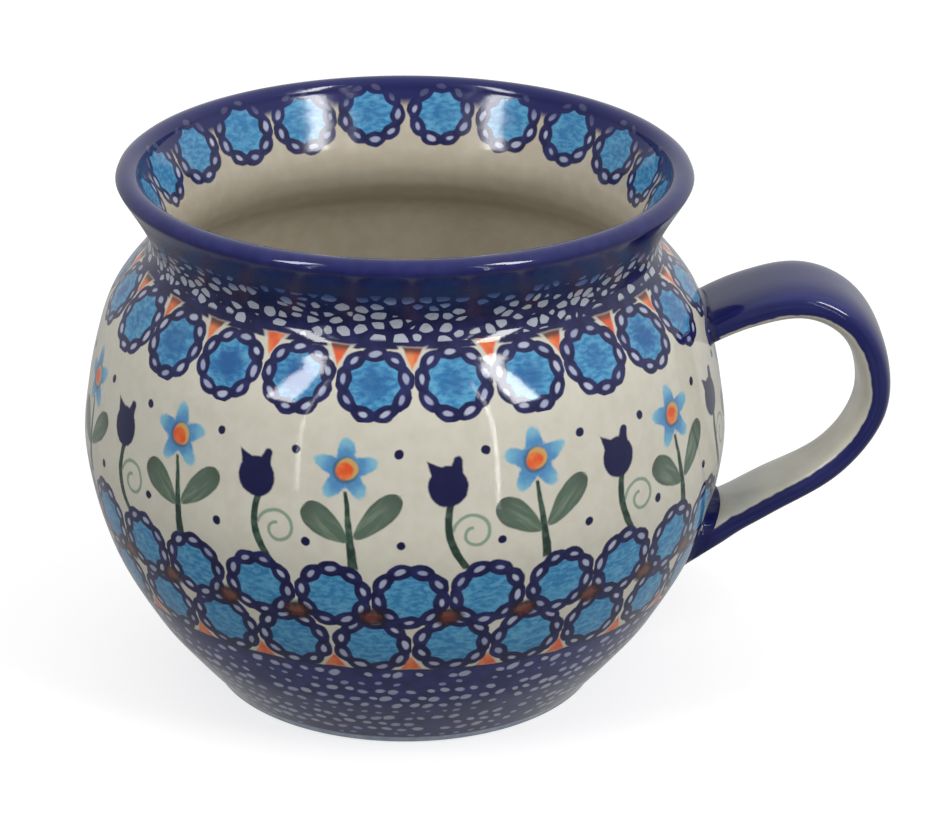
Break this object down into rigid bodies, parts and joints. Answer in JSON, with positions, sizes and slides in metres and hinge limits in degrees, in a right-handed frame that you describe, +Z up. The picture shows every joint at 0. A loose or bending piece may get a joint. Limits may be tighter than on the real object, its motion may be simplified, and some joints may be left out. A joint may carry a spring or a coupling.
{
  "type": "stoneware mug",
  "caption": "Round-bellied glazed stoneware mug with a short waisted neck, a flared rim, a turned foot ring and a strap handle joined on with slip collars.",
  "frame": {"origin": "middle of the whole part's footprint, on the plane that the foot ring stands on", "axes": "+Z up out of the mouth, +X from the body's axis towards the handle, +Y across the handle"},
  "size_m": [0.133, 0.106, 0.0886],
  "materials": {
    "cream_glaze": "glossy clear glaze over cream stoneware with a painted and stamped folk pattern in cobalt and light blue",
    "cobalt_glaze": "glossy clear glaze over dark cobalt blue paint"
  },
  "bodies": {
    "root": {"mug_body": "cream_glaze", "strap_handle": "cobalt_glaze", "upper_slip_joint": "cobalt_glaze", "lower_slip_joint": "cobalt_glaze"}
  },
  "joints": []
}
